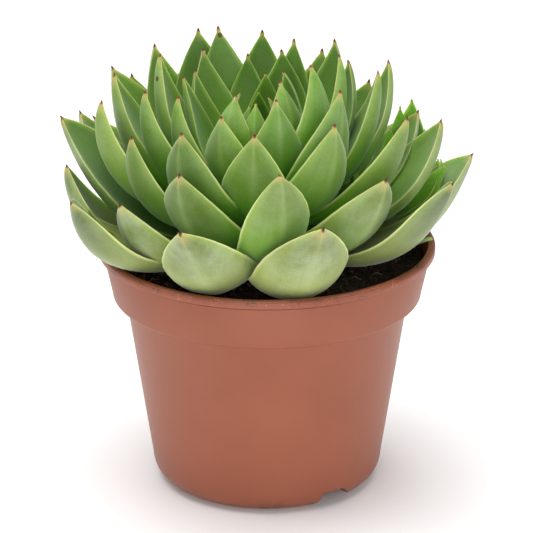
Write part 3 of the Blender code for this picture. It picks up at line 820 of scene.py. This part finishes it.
def read_leaf(tree):
    """Where a point is on its leaf, what leaf it is on, and how much sun reaches it."""
    uv = add(tree, "UVMap", uv_map="LeafMap").outputs["UV"]
    split = add(tree, "SeparateXYZ", {"Vector": uv})
    along = split.outputs["Y"]
    centred = add(tree, "Math", {0: split.outputs["X"], 1: 2.0, 2: -1.0}, operation="MULTIPLY_ADD")
    across = add(tree, "Math", {0: centred}, operation="ABSOLUTE")
    youth, tone, face = (add(tree, "Attribute", attribute_name=name).outputs["Fac"]
                         for name in ("leaf_youth", "leaf_tone_and_painted_light", "inner_face"))
    inner = add(tree, "MapRange", {"Value": face, "From Min": 0.35, "From Max": 0.65}, **SMOOTH)
    place = add(tree, "TexCoord").outputs["Object"]
    # soft clouds some 10 mm across, for the wax
    cloud = add(tree, "TexNoise", {"Vector": place, "Scale": 95.0, "Detail": 4.0, "Roughness": 0.6})
    # the neighbours shade a leaf's base, and shade an old leaf a little further out; on old leaves
    # the pale base colour laid there is painted light from the floor below
    shade_line = add(tree, "MapRange", {"Value": youth, "From Max": 0.3, "To Min": 0.9,
                                        "To Max": 0.86})
    shade = add(tree, "MapRange", {"Value": along, "From Min": shade_line, "From Max": 0.28},
                **SMOOTH)
    sunlit = add(tree, "MapRange", {"Value": shade, "To Min": 1.0, "To Max": 0.15})
    return Readings(uv, along, across, inner, youth, tone, place, cloud, shade, sunlit)


print("readings of a leaf:", ", ".join(Readings._fields))

# %% [markdown]
# ## Green and wax
# The green itself differs from the back to the inner face and from old leaves to young. The base,
# where no sun reaches, has hardly any wax, so it is a clear green; on old leaves it is painted pale
# and yellow, as light thrown up from the floor onto their low bellies. The wax is one coat over all
# of it, kept where the leaf is lit, so its pale colour is partly a painted sheen.

# %% The greens under their wax
def green_with_wax_and_painted_light(tree, leaf, colours):
    """The green of the back, the inner face and the base, powdered with wax: the base of old leaves
    is painted light from below, and the wax is partly a painted sheen.
    """
    ripe = add(tree, "MapRange", {"Value": leaf.youth, "From Min": 0.1, "From Max": 0.25})
    back, face, base = (
        add(tree, "Mix", {"Factor": share, "A": colours[part][0], "B": colours[part][1]}, **COLOURS)
        for part, share in (("back", leaf.youth), ("face", leaf.youth), ("base", ripe)))
    green = add(tree, "Mix", {"Factor": leaf.inner, "A": back, "B": face}, **COLOURS)
    # the real bloom, thick on old backs and thin on inner faces, but kept only where the leaf is lit,
    # so its pale coat is partly a painted sheen
    wax_and_sheen = add(tree, "MapRange", {"Value": leaf.cloud, "From Min": 0.32, "From Max": 0.7,
                                 "To Min": 0.03, "To Max": 0.42})
    old = add(tree, "MapRange", {"Value": leaf.youth, "From Max": 0.35, "To Min": 1.2, "To Max": 0.4})
    on_back = add(tree, "MapRange", {"Value": leaf.inner, "To Min": 1.0, "To Max": 0.55})
    for share in (old, on_back, leaf.sunlit):
        wax_and_sheen = add(tree, "Math", {0: wax_and_sheen, 1: share}, **TIMES)
    for share, over in ((leaf.shade, base), (wax_and_sheen, "#BCC8AC")):
        green = add(tree, "Mix", {"Factor": share, "A": green, "B": over}, **COLOURS)
    return green


print("wax in linear light:", [round(c, 3) for c in linear("#BCC8AC")])

# %% [markdown]
# ## Veins, grains and the leaf's own tone
# Faint veins run the length of a leaf, about 1.5 mm apart. The wax lies in grains too fine to
# see, so they are drawn at 0.6 mm, where they just show. And no two leaves are quite the same
# green: each is a little darker or lighter, and a little bluer or yellower, than the next.

# %% Patterns over the green
def patterned(tree, leaf, green):
    """The green varied by veins, grains and the leaf's tone, which on the leaves with a given tone
    is partly painted light and shade, and both patterns.
    """
    lengthwise = add(tree, "Mapping", {"Vector": leaf.uv, "Scale": (20.0, 1.3, 1.0)})
    own = add(tree, "Math", {0: leaf.tone, 1: 60.0}, **TIMES)
    veins = add(tree, "TexNoise", {"Vector": lengthwise, "W": own, "Scale": 1.0, "Detail": 2.0,
                                   "Roughness": 0.55}, noise_dimensions="4D")
    grains = add(tree, "TexNoise", {"Vector": leaf.place, "Scale": 1500.0, "Detail": 1.0})
    # the tone sets the leaf's brightness; where the tone is given it is partly painted light and shade
    bright = add(tree, "MapRange", {"Value": leaf.tone, "To Min": 0.86, "To Max": 1.1},
                 clamp=False)
    for pattern, darkest, lightest in ((veins, 0.96, 1.03), (grains, 0.93, 1.07)):
        share = add(tree, "MapRange", {"Value": pattern, "From Min": 0.3, "From Max": 0.7,
                                       "To Min": darkest, "To Max": lightest})
        bright = add(tree, "Math", {0: bright, 1: share}, **TIMES)
    hue = add(tree, "MapRange", {"Value": leaf.tone, "To Min": 0.507, "To Max": 0.493})
    varied = add(tree, "HueSaturation", {"Color": green, "Value": bright, "Hue": hue})
    return varied, veins, grains


print("tones given by hand:", len(TONES_WITH_PAINTED_LIGHT))

# %% [markdown]
# ## Keel and margins
# The keel shows as a soft pale line down the back. Towards its sides a leaf is thin and light
# comes through, and that glow is painted: a paler green on the sides where the leaf is lit. The
# margin itself is a line of pale yellow, under half a millimetre wide on a leaf of 30 mm. Near
# the tip both green and margin turn warmer.

# %% Coats along the lines of a leaf
def line_coats(tree, leaf, colours):
    """A share and a colour for the keel, the painted glow of the lit thin sides, the warm end and the
    margin.
    """
    keel = add(tree, "MapRange", {"Value": leaf.across, "From Min": 0.24, "From Max": 0.0},
               **SMOOTH)
    outer_half = add(tree, "MapRange", {"Value": leaf.along, "From Min": 0.4, "From Max": 0.7,
                                        "To Max": 0.12}, **SMOOTH)
    on_back = add(tree, "Math", {0: 1.0, 1: leaf.inner}, operation="SUBTRACT")
    for share in (outer_half, on_back):
        keel = add(tree, "Math", {0: keel, 1: share}, **TIMES)
    # painted light: the thin sides are painted paler where the leaf is lit, for the light shining
    # through them
    painted_lit_sides = add(tree, "MapRange", {"Value": leaf.across, "From Min": 0.62, "From Max": 1.0,
                                  "To Max": 0.28}, **SMOOTH)
    painted_lit_sides = add(tree, "Math", {0: painted_lit_sides, 1: leaf.sunlit}, **TIMES)
    warm = add(tree, "MapRange", {"Value": leaf.along, "From Min": 0.92, "From Max": 0.98,
                                  "To Max": 0.36}, **SMOOTH)
    edge = add(tree, "MapRange", {"Value": leaf.across, "From Min": 0.945, "From Max": 0.99,
                                  "To Max": 0.8}, **SMOOTH)
    past_base = add(tree, "MapRange", {"Value": leaf.along, "From Min": 0.15, "From Max": 0.4})
    edge = add(tree, "Math", {0: edge, 1: past_base}, **TIMES)
    near_tip = add(tree, "MapRange", {"Value": leaf.along, "From Min": 0.8, "From Max": 0.97,
                                      "To Max": 0.6}, **SMOOTH)
    margin = add(tree, "Mix", {"Factor": near_tip, "A": colours["margin"][0],
                               "B": colours["margin"][1]}, **COLOURS)
    return [(keel, "#CBD6A2"), (painted_lit_sides, "#B2C46C"), (warm, "#D8B47C"), (edge, margin)]


print("keel in linear light:", [round(c, 3) for c in linear("#CBD6A2")])

# %% [markdown]
# ## Scars and spine
# Two old leaves carry a small corky scar. At the tip the last millimetre of the blade turns red,
# and the spine itself is dead tissue, nearly black red.

# %% Coats of the scars and the spine
SCAR_PLACES = (mm(-38.9, 13.3, 145.1), mm(-17.0, 45.1, 151.7))
SCAR_RADII = (0.0012, 0.0007)    # metres, where a scar begins and where it is whole


def spot_coats(tree, leaf, colours):
    """A share and a colour for each scar, the red of the tip and, last, the spine."""
    coats = []
    for spot in SCAR_PLACES:
        gap = add(tree, "VectorMath", {0: leaf.place, 1: spot}, operation="DISTANCE")
        scar = add(tree, "MapRange", {"Value": gap, "From Min": SCAR_RADII[0],
                                      "From Max": SCAR_RADII[1], "To Max": 0.92}, **SMOOTH)
        coats.append((scar, "#4A2B1C"))
    blush = add(tree, "MapRange", {"Value": leaf.along, "From Min": 0.976, "From Max": 0.984},
                **SMOOTH)
    dead = add(tree, "MapRange", {"Value": leaf.along, "From Min": 0.983, "From Max": 0.989,
                                  "To Max": 0.95})
    red, spine = (add(tree, "Mix", {"Factor": leaf.youth, "A": old, "B": young}, **COLOURS)
                  for old, young in (("#642822", "#A83A3C"), colours["spine"]))
    return coats + [(blush, red), (dead, spine)]


print("scars:", len(SCAR_PLACES))

# %% [markdown]
# ## The whole skin
# Wax scatters light, so the skin is rough where it is thick, with a satin gleam where it is thin.
# The low sheen is its powder seen from the side. Light goes a little way into the flesh, which
# the subsurface share gives, but not into the spine, which is bare and shiny.

# %% The leaf materials
def leaf_skin(name, colours):
    """Waxy succulent skin. Each pair of colours is for old and young leaves, but the pair of the
    margin is for its length and for the part near the tip."""
    skin, tree, shader = new_material(name)
    leaf = read_leaf(tree)
    colour, veins, grains = patterned(tree, leaf, green_with_wax_and_painted_light(tree, leaf, colours))
    coats = line_coats(tree, leaf, colours) + spot_coats(tree, leaf, colours)
    for share, over in coats:
        colour = add(tree, "Mix", {"Factor": share, "A": colour, "B": over}, **COLOURS)
    gloss = add(tree, "MapRange", {"Value": leaf.cloud, "From Min": 0.3, "From Max": 0.75,
                                   "To Min": 0.38, "To Max": 0.52})
    on_spine = coats[-1][0]
    polished = add(tree, "Mix", {"Factor": on_spine, "A": gloss, "B": 0.22})
    flesh = add(tree, "Mix", {"Factor": on_spine, "A": 0.35, "B": 0.0})
    # the veins and grains stand a little proud and break the gleam
    pimpled = add(tree, "Bump", {"Height": grains, "Strength": 0.15, "Distance": 0.0002})
    ribbed = add(tree, "Bump", {"Height": veins, "Strength": 0.07, "Distance": 0.0008,
                                "Normal": pimpled})
    feed(shader, {
        "Base Color": colour, "Roughness": polished, "Normal": ribbed, "IOR": 1.42,
        "Specular IOR Level": 0.3, "Subsurface Weight": flesh, "Subsurface Scale": 0.004,
        "Subsurface Radius": (0.6, 1.0, 0.2), "Sheen Weight": 0.3, "Sheen Roughness": 0.35,
        "Sheen Tint": "#E6ECE6"})
    return skin


# painted light: the old leaves' pale yellow base colour stands for light thrown up from the floor
old_skin = leaf_skin("waxy echeveria leaf", {
    "back": ("#6A783A", "#68922C"), "face": ("#648A34", "#5E842A"), "base": ("#AEBC64", "#66A01C"),
    "margin": ("#CBD08A", "#DDA87A"), "spine": ("#260C10", "#701420")})
young_skin = leaf_skin("waxy offset leaf", {
    "back": ("#86B43E", "#86B43E"), "face": ("#80B438", "#84B83C"), "base": ("#74B030", "#74B030"),
    "margin": ("#C0DA78", "#CFE08C"), "spine": ("#8C9A50", "#8C9A50")})
for name, piece in leaf_pieces.items():
    piece.data.materials.clear()
    piece.data.materials.append(young_skin if "offset" in name else old_skin)
    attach(piece, "root")
    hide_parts("rosette")
print("leaf pieces with skin:", len(leaf_pieces))

# %% [markdown]
# ## The stem
# The stem is all but hidden: a short green brown trunk that the leaves clasp. It is there so that
# no gap between leaves looks through to daylight. A cylinder is drawn in towards the crown, and
# the offsets sit on short stalks of their own.

# %% The stem and its stalks
STEM_FOOT = 66.0
STEM_TOP = 112.0
STEM_RADIUS = 9.0
TOP_SHARE = 0.4          # of the radius, that is left at the top
OFFSET_FOOT = 84.2
OFFSET_RISE = 18.0       # over an offset's rank, if it were as large as the crown
STALK_START = 86.5
STALK_RADIUS = 2.2


def stem_piece(crown, foot, top, radius):
    """A short trunk: a cylinder whose top is drawn in."""
    start_fresh()
    middle = crown.centre * MM + mm(0, 0, (foot + top) / 2)
    bpy.ops.mesh.primitive_cylinder_add(vertices=24, radius=radius * MM, depth=(top - foot) * MM,
                                        location=middle)
    trunk = bpy.context.object
    bpy.ops.object.transform_apply(location=True)
    bpy.ops.object.mode_set(mode="EDIT")
    pick(lambda place: place.z > middle.z)
    centre = tuple(crown.centre * MM + mm(0, 0, top))
    bpy.ops.transform.resize(value=(TOP_SHARE, TOP_SHARE, 1), center_override=centre)
    bpy.ops.object.mode_set(mode="OBJECT")
    return trunk


def stalk_piece(crown):
    """A thin stalk from the large stem to an offset."""
    start_fresh()
    start = CROWN.centre * MM + mm(0, 0, STALK_START)
    end = crown.centre * MM + mm(0, 0, crown.rank)
    turn = (end - start).to_track_quat("Z", "Y").to_euler()
    bpy.ops.mesh.primitive_cylinder_add(vertices=12, radius=STALK_RADIUS * MM,
                                        depth=(end - start).length,
                                        location=(start + end) / 2, rotation=turn)
    bpy.ops.object.transform_apply(location=True, rotation=True)
    return bpy.context.object


stems = [stem_piece(CROWN, STEM_FOOT, STEM_TOP, STEM_RADIUS)]
for crown in (RIGHT_OFFSET, LEFT_OFFSET):
    top = crown.rank + OFFSET_RISE * crown.size
    stems.append(stem_piece(crown, OFFSET_FOOT, top, STEM_RADIUS * crown.size))
    stems.append(stalk_piece(crown))
stem = smooth_sides(join(stems, "stems"), degrees=40)
print("stem parts:", len(stems))

# %% The stem's bark
# green bark, dulled and mottled by the scars of old leaves
bark, tree, shader = new_material("green echeveria stem")
place = add(tree, "TexCoord").outputs["Object"]
scars = add(tree, "TexNoise", {"Vector": place, "Scale": 350.0, "Detail": 3.0})
mottled = add(tree, "Mix", {"Factor": scars, "A": "#5E7A36", "B": "#8A8B5A"}, **COLOURS)
feed(shader, {"Base Color": mottled, "Roughness": 0.6})
stem.data.materials.clear()
stem.data.materials.append(bark)
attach(stem, "root")
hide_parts("rosette")
print("nodes in the bark:", len(tree.nodes))

# %% [markdown]
# ## The peat
# Potting peat is nearly black when damp: crumbs up to a few millimetres, with fibres and slivers
# of bark. The CAD solid stays below as the body of the fill. A disc with an uneven top lies on it,
# one crumb is modelled and copied over the disc, and loose fibres are drawn on top.

# %% The uneven top
PEAT_LEVEL = 83.0
PEAT_RADIUS = 55.6
PEAT_THICKNESS = 2.0
PEAT_CELLS = 170
SWELL = 1.1              # mm high
SWELLS_PER_MM = 0.09
BUMP = 0.8               # mm high
BUMPS_PER_MM = 0.55


def peat_height(x, y):
    """The peat's surface in mm, before the crumbs."""
    wide = noise.noise(Vector((x, y, 0.0)) * SWELLS_PER_MM) * SWELL
    fine = noise.noise(Vector((x, y, 7.0)) * BUMPS_PER_MM) * BUMP
    return PEAT_LEVEL + wide + fine


start_fresh()
bpy.ops.mesh.primitive_grid_add(x_subdivisions=PEAT_CELLS, y_subdivisions=PEAT_CELLS,
                                size=2 * PEAT_RADIUS * MM, location=mm(0, 0, PEAT_LEVEL))
peat = bpy.context.object
peat.name = "peat_top"
bpy.ops.object.transform_apply(location=True)
bpy.ops.object.mode_set(mode="EDIT")
pick(lambda place: math.hypot(place.x, place.y) > PEAT_RADIUS * MM)
bpy.ops.mesh.delete(type="VERT")
bpy.ops.mesh.select_all(action="SELECT")
bpy.ops.object.mode_set(mode="OBJECT")
for vert in peat.data.vertices:
    vert.co.z = peat_height(vert.co.x / MM, vert.co.y / MM) * MM
skirt = peat.modifiers.new("body", "SOLIDIFY")
skirt.thickness = PEAT_THICKNESS * MM
skirt.offset = -1.0
apply_all(peat)
print("faces of the peat's top:", len(peat.data.polygons))

# %% One crumb, and its copies
CRUMB_DRAWS = 1500
COVERED_RADIUS = 22.0    # under the thick of the leaves no crumb shows, so none is made
CRUMB_RADIUS = 0.35
LARGEST_MORE = 1.1       # how much a crumb's radius can be over that
LUMPINESS = 0.55         # of the radius
LUMPS_PER_RADIUS = 1.4
WALL_GAP = 0.8           # from the peat's edge to the outermost crumbs

start_fresh()
bpy.ops.mesh.primitive_ico_sphere_add(subdivisions=2, radius=1.0)
crumb = bpy.context.object
for vert in crumb.data.vertices:
    vert.co *= 1.0 + LUMPINESS * noise.noise(vert.co * LUMPS_PER_RADIUS)
scatter = random.Random(23)
crumb_points = np.array([vert.co[:] for vert in crumb.data.vertices])
crumbs = []
for k in range(CRUMB_DRAWS):
    radius = math.sqrt(scatter.random()) * (PEAT_RADIUS - WALL_GAP)
    turn = scatter.uniform(0.0, math.tau)
    x, y = radius * math.cos(turn), radius * math.sin(turn)
    if math.hypot(x, y) < COVERED_RADIUS:
        continue
    size = CRUMB_RADIUS + LARGEST_MORE * scatter.random() ** 3
    spin = scatter.uniform(0, math.tau)
    axis = Vector([scatter.gauss(0, 1) for _ in range(3)]).normalized()
    turned = Matrix.Rotation(spin, 3, axis)
    stretch = np.array((1.0, scatter.uniform(0.6, 1.3), scatter.uniform(0.5, 0.9))) * size
    mesh = crumb.data.copy()
    placed = (crumb_points * stretch) @ np.array(turned).T
    placed = placed + np.array((x, y, peat_height(x, y) + 0.25 * size))
    mesh.vertices.foreach_set("co", (placed * MM).ravel())
    layer = mesh.attributes.new("crumb_tone", "FLOAT", "POINT")
    layer.data.foreach_set("value", np.full(len(mesh.vertices), scatter.random(), np.float32))
    mesh.update()
    piece = bpy.data.objects.new(f"crumb_{k}", mesh)
    bpy.context.scene.collection.objects.link(piece)
    crumbs.append(piece)
bpy.data.objects.remove(crumb)
peat_crumbs = smooth_sides(join(crumbs, "peat_crumbs"), degrees=50)
print("crumbs:", len(crumbs), "faces:", len(peat_crumbs.data.polygons))

# %% One fibre, and its copies
FIBRES = 90
FIBRE_RINGS = 10


def fibre_piece(name, x, y, turn, length, girth, curl, lift):
    """A thin root or fibre: a cylinder cut into rings, each ring moved along a gentle curl."""
    start_fresh()
    bpy.ops.mesh.primitive_cylinder_add(vertices=5, radius=girth * MM, depth=length * MM,
                                        end_fill_type="TRIFAN", rotation=(0, math.radians(90), 0))
    piece = bpy.context.object
    piece.name = name
    bpy.ops.object.transform_apply(rotation=True)
    bpy.ops.object.mode_set(mode="EDIT")
    for ring in range(1, FIBRE_RINGS):
        bpy.ops.mesh.select_all(action="SELECT")
        cut_at = (ring / FIBRE_RINGS - 0.5) * length * MM
        bpy.ops.mesh.bisect(plane_co=(cut_at, 0, 0), plane_no=(1, 0, 0))
    bpy.ops.object.mode_set(mode="OBJECT")
    ahead = direction(turn)
    beside = direction(turn + 90.0)
    for vert in piece.data.vertices:
        run = vert.co.x / MM
        bow = curl * math.sin(run / length * 3.0) * length
        flat = Vector((x, y, 0.0)) + ahead * run + beside * (bow + vert.co.y / MM)
        rise = lift * math.cos(run / length * math.pi) ** 2
        vert.co = mm(flat.x, flat.y, peat_height(flat.x, flat.y) + girth + rise + vert.co.z / MM)
    return piece


fibres = []
for k in range(FIBRES):
    radius = scatter.uniform(30.0, 52.0)
    turn = scatter.uniform(0.0, 360.0)
    place = direction(turn) * radius
    fibres.append(fibre_piece(
        f"fibre_{k}", place.x, place.y, turn=scatter.uniform(0, 360),
        length=scatter.uniform(2.5, 7.0), girth=scatter.uniform(0.07, 0.16),
        curl=scatter.uniform(-0.25, 0.25), lift=scatter.uniform(0.1, 1.0)))
peat_fibres = smooth_sides(join(fibres, "peat_fibres"), degrees=60)
print("fibres:", len(fibres))

# %% [markdown]
# ## The peat's finish
# Damp peat takes in most of the light, so its colour is nearly black, with browner crumbs where
# it has dried. It has no gloss of its own. The fibres are dried roots, straw brown.

# %% Peat and fibre materials
# damp peat: open crumbs that trap light, so very rough and very dark
damp, tree, shader = new_material("damp potting peat")
place = add(tree, "TexCoord").outputs["Object"]
mottle = add(tree, "TexNoise", {"Vector": place, "Scale": 420.0, "Detail": 4.0, "Roughness": 0.65})
dry = add(tree, "MapRange", {"Value": mottle, "From Min": 0.35, "From Max": 0.8})
tone = add(tree, "Attribute", attribute_name="crumb_tone").outputs["Fac"]
brown = add(tree, "MapRange", {"Value": tone, "From Min": 0.7, "From Max": 1.0, "To Max": 0.8})
colour = "#1C1613"
for share, over in ((dry, "#3A2C22"), (brown, "#6A4A33")):
    colour = add(tree, "Mix", {"Factor": share, "A": colour, "B": over}, **COLOURS)
grit = add(tree, "TexNoise", {"Vector": place, "Scale": 1600.0, "Detail": 3.0})
bump = add(tree, "Bump", {"Height": grit, "Strength": 0.6, "Distance": 0.0004})
feed(shader, {"Base Color": colour, "Roughness": 0.92, "Specular IOR Level": 0.25, "Normal": bump})

# dried root: fibrous and dull, bleached in places
straw, tree, shader = new_material("dried root fibre")
place = add(tree, "TexCoord").outputs["Object"]
fade = add(tree, "TexNoise", {"Vector": place, "Scale": 120.0, "Detail": 2.0})
pale = add(tree, "Mix", {"Factor": fade, "A": "#4A3524", "B": "#A58A63"}, **COLOURS)
feed(shader, {"Base Color": pale, "Roughness": 0.75})

peat_pieces = ((peat, damp), (peat_crumbs, damp), (peat_fibres, straw))
for piece, finish in peat_pieces:
    piece.data.materials.clear()
    piece.data.materials.append(finish)
    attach(piece, "root")
cad_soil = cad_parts["soil"]
cad_soil.material_slots[0].material = damp
print("peat pieces:", len(peat_pieces))

# %% [markdown]
# ## Floor and light
# Product light: a matt white floor, a large soft box overhead, a low one in front that reaches in
# under the leaves, and a weak one at each side, the right one stronger. The world is plain white
# and weak, so the shadows stay soft.

# %% Floor, world and lamps
FLOOR_SIZE = 6.0         # metres
WORLD_STRENGTH = 0.46

start_fresh()
bpy.ops.mesh.primitive_plane_add(size=FLOOR_SIZE, location=(0, 0, 0))
floor = bpy.context.object
floor.name = "studio_floor"
# paper roll: matt white, with next to no gloss
paper, tree, shader = new_material("matt white paper")
feed(shader, {"Base Color": "#F6F6F6", "Roughness": 0.9})
floor.data.materials.append(paper)

world = bpy.data.worlds.new("white room")
world.use_nodes = True
feed(world.node_tree.nodes["Background"], {"Color": "#FFFFFF", "Strength": WORLD_STRENGTH})
bpy.context.scene.world = world


def soft_lamp(name, place, aim, size, power):
    """A square soft box at a place, turned to face a point."""
    data = bpy.data.lights.new(name, "AREA")
    data.size = size
    data.energy = power
    lamp = bpy.data.objects.new(name, data)
    bpy.context.scene.collection.objects.link(lamp)
    lamp.location = place
    lamp.rotation_euler = (aim - place).to_track_quat("-Z", "Y").to_euler()
    return lamp


leaves_middle = mm(0, 0, 90)
soft_lamp("overhead softbox", Vector((-0.15, 0.1, 1.3)), mm(0, 0, 0), size=1.4, power=22.0)
soft_lamp("left softbox", Vector((-1.1, -0.6, 0.15)), leaves_middle, size=0.8, power=2.6)
soft_lamp("right softbox", Vector((1.1, -0.6, 0.15)), leaves_middle, size=0.8, power=4.5)
soft_lamp("front softbox", Vector((0.0, -1.3, 0.12)), mm(0, 0, 80), size=1.0, power=12.5)
bpy.context.scene.view_settings.view_transform = "Standard"
